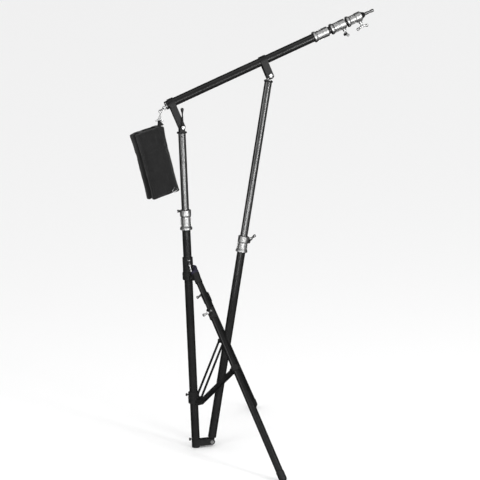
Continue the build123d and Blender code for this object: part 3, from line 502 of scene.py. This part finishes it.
def inflated(thing, pressure):
    """Cloth pressed outwards from within, kept near its cut shape and applied."""
    scene = bpy.context.scene
    rest = [vertex.co.copy() for vertex in thing.data.vertices]
    cloth = thing.modifiers.new("Cloth", "CLOTH")
    cloth.settings.quality = 5
    cloth.settings.use_pressure = True
    cloth.settings.uniform_pressure_force = pressure
    cloth.settings.effector_weights.gravity = 0
    cloth.settings.tension_stiffness = 25
    cloth.settings.compression_stiffness = 25
    cloth.settings.bending_stiffness = 1.2
    cloth.point_cache.frame_start = 1
    cloth.point_cache.frame_end = SIM_FRAMES
    for step in range(1, SIM_FRAMES + 1):
        scene.frame_set(step)
    shown = thing.evaluated_get(bpy.context.evaluated_depsgraph_get())
    moved = [vertex.co.copy() for vertex in shown.data.vertices]
    thing.modifiers.remove(cloth)
    scene.frame_set(1)
    for vertex, was, now in zip(thing.data.vertices, rest, moved):
        step = now - was
        if step.length > SWELL_CAP:
            step = step * (SWELL_CAP / step.length)
        vertex.co = was + step


def applied(thing, kind, **settings):
    """A modifier run and applied to the mesh."""
    modifier = thing.modifiers.new(kind, kind)
    for key, value in settings.items():
        setattr(modifier, key, value)
    shown = thing.evaluated_get(bpy.context.evaluated_depsgraph_get())
    mesh = bpy.data.meshes.new_from_object(shown)
    thing.modifiers.remove(modifier)
    thing.data = mesh


def crease(x, z, start, end, width):
    """How close (x, z) is to a crease line, 1 on it and fading off."""
    run = Vector(end) - Vector(start)
    t = min(1.0, max(0.0, (Vector((x, z)) - Vector(start)).dot(run) / run.length_squared))
    off = (Vector((x, z)) - Vector(start) - run * t).length
    fade = math.sin(math.pi * (0.08 + 0.84 * t))
    return math.exp(-(off / width) ** 2) * fade


# Crease lines on each pouch's outer face, as shares of its half width and half height:
# start, end, width in metres, depth in metres.
CREASES = (((-0.98, 0.36), (-0.42, 0.22), 0.010, 0.0050), ((-0.92, 0.30), (-0.70, -0.30), 0.009, 0.0034),
           ((0.98, 0.52), (0.30, 0.30), 0.011, 0.0046), ((-0.30, 0.96), (-0.12, 0.42), 0.012, 0.0034),
           ((0.28, 0.95), (0.20, 0.40), 0.012, 0.0030), ((0.62, 0.92), (0.80, 0.44), 0.010, 0.0030),
           ((-0.66, 0.92), (-0.78, 0.46), 0.010, 0.0032), ((-0.50, 0.34), (0.34, 0.37), 0.013, 0.0040),
           ((-0.10, -0.86), (0.30, -0.66), 0.010, 0.0022), ((-0.80, -0.90), (-0.50, -0.60), 0.010, 0.0026))


def pouch(name, node, outer):
    """A sand-filled pouch: lofted, swollen as cloth, then creased. outer is its outward side, -1 or 1."""
    low_x, high_x = extent(node, BAG_ACROSS)
    low_y, high_y = extent(node, BAG_DEPTH)
    low_z, high_z = extent(node, BAG_UP)
    half = Vector(((high_x - low_x) / 2, (high_y - low_y) / 2, (high_z - low_z) / 2))
    middle = (BAG_ACROSS * (low_x + high_x) + BAG_DEPTH * (low_y + high_y) + BAG_UP * (low_z + high_z)) / 2
    inset = 2.5 * MM
    rings = []
    stations = 70
    around = 96
    for step in range(stations + 1):
        share = step / stations
        z = -half.z + inset + (2 * half.z - 2 * inset) * share
        rounding = min(1.0, ((share + 0.002) / 0.014) ** 0.5, ((1.002 - share) / 0.012) ** 0.5)
        neck = math.exp(-((share - FILL_LINE) / 0.05) ** 2)
        depth = (half.y - inset) * (0.80 + 0.20 * rounding) * (1 - 0.05 * neck)
        taper = 1 - 0.42 * (1 - smooth_step(0.0, 0.9, share))
        wide = (half.x - inset * 0.7) * (0.985 + 0.015 * rounding) * (1 - 0.006 * neck)
        ring = []
        for i in range(around):
            a = 2 * math.pi * i / around
            c, s = math.cos(a), math.sin(a)
            x = math.copysign(abs(c) ** 0.12, c) * wide
            y = math.copysign(abs(s) ** 0.12, s) * depth * (taper if x < 0 else 1)
            if y * outer > 0:
                y *= 1 - 0.34 * smooth_step(RIGHT_FACET * 2, 1.0, x / half.x)
            ring.append(Vector((x, y, z)))
        rings.append(ring)
    points, faces = joined(rings, False, True)
    made = piece(name, points, faces, nylon, "sandbag")
    applied(made, "REMESH", mode="VOXEL", voxel_size=VOXEL, use_smooth_shade=True)
    inflated(made, 3.5)
    applied(made, "SUBSURF", levels=1)
    for vertex in made.data.vertices:
        x, y, z = vertex.co
        side = smooth_step(0.25, 0.7, y * outer / half.y)
        depth = 0.0
        for start, end, width, deep in CREASES:
            depth += deep * crease(x, z, (start[0] * half.x, start[1] * half.z),
                                   (end[0] * half.x, end[1] * half.z), width)
        seam = math.exp(-((x - RIGHT_FACET * 2 * half.x) / (2.2 * MM)) ** 2) * 1.8 * MM
        ripple = noise.noise(Vector((x * 34, outer * 7, z * 12))) * 1.7 * MM
        ripple += noise.noise(Vector((x * 80 + 3, outer * 3, z * 46))) * 0.5 * MM
        y -= outer * side * (depth + seam - ripple * 0.8)
        edge = smooth_step(0.7, 1.0, abs(x) / half.x)
        x += math.copysign(edge * noise.noise(Vector((outer * 5, y * 40, z * 18))) * 1.6 * MM, x)
        z += noise.noise(Vector((x * 22, y * 22, 4.0))) * 1.5 * MM * smooth_step(0.8, 1.0, abs(z) / half.z)
        x = max(-half.x, min(half.x, x))
        y = max(-half.y - SWELL_CAP * (outer < 0), min(half.y + SWELL_CAP * (outer > 0), y))
        vertex.co = middle + BAG_ACROSS * x + BAG_DEPTH * y + BAG_UP * z
    made.data.shade_smooth()
    made.data.materials.clear()
    made.data.materials.append(nylon)
    made.data.update()
    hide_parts(node)
    return made, middle, half


def on_surface(tree, middle, x, y, z, lift):
    """The point of a pouch's skin nearest a local place, lifted off along its normal."""
    place, normal, _, _ = tree.find_nearest(middle + BAG_ACROSS * x + BAG_DEPTH * y + BAG_UP * z)
    return place + normal * lift, normal


def stitch_row(name, spots, length, gap, radius):
    """Thread stitches along a line of (point, normal) spots."""
    points, faces, carried = [], [], 0.0
    for (here, normal), (there, _) in zip(spots, spots[1:]):
        run = there - here
        carried += run.length
        if carried < length + gap:
            continue
        carried = 0.0
        way = run.normalized()
        start = len(points)
        path_points = [here - way * length / 2, here - way * length / 4 + normal * radius,
                       here + way * length / 4 + normal * radius, here + way * length / 2]
        made_points, made_faces = swept(path_points, circle(radius, 6), [normal] * 4)
        points += made_points
        faces += [tuple(start + i for i in face) for face in made_faces]
    return piece(name, points, faces, thread_finish, "sandbag")


pouches = {}
for name, node, outer in (("bag_pouch_front", "sandbag_front", -1), ("bag_pouch_rear", "sandbag_rear", 1)):
    made, middle, half = pouch(name, node, outer)
    skin = BVHTree.FromObject(made, bpy.context.evaluated_depsgraph_get())
    pouches[outer] = (middle, half, skin)
    word = name.rsplit("_", 1)[1]
    reach = half.z * 0.965
    spans = [-reach + 2 * reach * i / SEAM_STEPS for i in range(SEAM_STEPS + 1)]
    for side, x in (("left", -half.x), ("right", half.x)):
        front = outer * half.y * (0.96 if x < 0 else 0.64)
        spots = [on_surface(skin, middle, x, front, z, 0.2 * MM) for z in spans]
        line = [spot for spot, _ in spots]
        eased = [(line[max(i - 2, 0)] + here * 2 + line[min(i + 2, SEAM_STEPS)]) / 4
                 for i, here in enumerate(line)]
        points, faces = swept(eased, circle(1.7 * MM, 8), [normal for _, normal in spots])
        piece(f"bag_piping_{word}_{side}", points, faces, webbing, "sandbag")
    for number, x in enumerate((RIGHT_FACET * 2 * half.x - 3.2 * MM, RIGHT_FACET * 2 * half.x + 3.2 * MM)):
        spots = [on_surface(skin, middle, x, outer * half.y, z, 0.15 * MM) for z in spans]
        stitch_row(f"bag_seam_{word}_{number}", spots, 3.4 * MM, 1.6 * MM, 0.45 * MM)

# Webbing loop from the bag's top, round the hook's bar.
joint_place = Vector(joints["bag_swing"]["pos_m"])
middle, half, _ = pouches[-1]
rear_middle = pouches[1][0]
bag_top = extent("sandbag_front", BAG_UP)[1]
top_middle = joint_place + BAG_UP * (bag_top - 2 * MM - joint_place.dot(BAG_UP))
loop_radius = 3.55 * MM
loop_width = 17 * MM
loop_steps = 12
loop_path = []
for i in range(loop_steps + 1):
    a = math.radians(-70 + 320 * i / loop_steps)
    loop_path.append(joint_place + Vector((0, math.cos(a), math.sin(a))) * loop_radius)
feet = [top_middle + BAG_DEPTH * side * 15 * MM for side in (1, -1)]
knees = [top_middle + BAG_DEPTH * side * 5 * MM + BAG_UP * 3 * MM for side in (1, -1)]
path_points = [feet[0], knees[0]] + loop_path + [knees[1], feet[1]]
widths = [34 * MM, 32 * MM] + [loop_width] * len(loop_path) + [32 * MM, 34 * MM]
ways = tangents(path_points, False)
rings = []
for point, way, width in zip(path_points, ways, widths):
    side = Vector((1, 0, 0)) if width < 20 * MM else BAG_ACROSS
    across = (side - way * side.dot(way)).normalized()
    out = way.cross(across)
    rings.append([point + across * x + out * y for x, y in strap_section(width, 1.6 * MM)])
points, faces = joined(rings, False, True)
handle = piece("bag_handle_loop", points, faces, webbing, "sandbag")
applied(handle, "SUBSURF", levels=2)
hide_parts("sandbag_handle")

# Two webbing bands that join the pouches across the top; each point is a share of the depth and a drop in mm.
top_centre = (middle + rear_middle) / 2
for number, x in enumerate((-0.62, 0.62)):
    path_points = []
    for y, drop in ((-1.02, 30), (-1.02, 12), (-0.92, 1.5), (-0.4, -1.2), (0.0, -1.8), (0.4, -1.2), (0.92, 1.5),
                    (1.02, 12), (1.02, 30)):
        place = top_centre + BAG_ACROSS * x * half.x + BAG_DEPTH * y * 2 * half.y + BAG_UP * (half.z - drop * MM)
        near = min((pouches[k][2].find_nearest(place) for k in (-1, 1)), key=lambda found: found[3])
        if drop > 1:
            place = near[0] + near[1] * 0.9 * MM
        path_points.append(place)
    points, faces = swept(path_points, strap_section(26 * MM, 1.6 * MM), [BAG_ACROSS] * len(path_points))
    band = piece(f"bag_band_{number}", points, faces, webbing, "sandbag")
    applied(band, "SUBSURF", levels=2)

# Wire triangle ring on a webbing tab at the front pouch's lower corner.
skin = pouches[-1][2]
ring_corner = [(0.30, -0.975), (0.52, -0.80), (0.86, -0.89)]
ring_points = []
for i, (x, z) in enumerate(ring_corner):
    after = ring_corner[(i + 1) % 3]
    for share in (0.06, 0.2, 0.5, 0.8, 0.94):
        u = x + (after[0] - x) * share
        v = z + (after[1] - z) * share
        ring_points.append(on_surface(skin, middle, u * half.x, -half.y, v * half.z, 3.2 * MM)[0])
points, faces = swept(ring_points, circle(1.9 * MM, 10), [BAG_DEPTH] * len(ring_points), True)
ring = piece("bag_wire_ring", points, faces, steel, "sandbag")
applied(ring, "SUBSURF", levels=1)
tab_path = [on_surface(skin, middle, 0.56 * half.x, -half.y, v * half.z, lift * MM)[0]
            for v, lift in ((-0.74, 0.8), (-0.79, 1.0), (-0.835, 5.8), (-0.86, 6.2), (-0.875, 1.0), (-0.93, 0.8))]
points, faces = swept(tab_path, strap_section(16 * MM, 1.4 * MM), [BAG_ACROSS] * len(tab_path))
tab = piece("bag_ring_tab", points, faces, webbing, "sandbag")
applied(tab, "SUBSURF", levels=2)

# ------------------------------------------------------------------ floor

FLOOR_REACH = 160
floor_mesh = bpy.data.meshes.new("floor")
floor_mesh.from_pydata([(-FLOOR_REACH, -FLOOR_REACH, 0), (FLOOR_REACH, -FLOOR_REACH, 0),
                        (FLOOR_REACH, FLOOR_REACH, 0), (-FLOOR_REACH, FLOOR_REACH, 0)], [], [(0, 1, 2, 3)])
floor = bpy.data.objects.new("floor", floor_mesh)
bpy.context.scene.collection.objects.link(floor)
floor_finish = new_material("floor_pale")
floor_shade = floor_finish.node_tree.nodes["Principled BSDF"]
floor_shade.inputs["Base Color"].default_value = (0.93, 0.93, 0.93, 1)
floor_shade.inputs["Roughness"].default_value = 0.9
floor_mesh.materials.append(floor_finish)
floor.visible_glossy = False
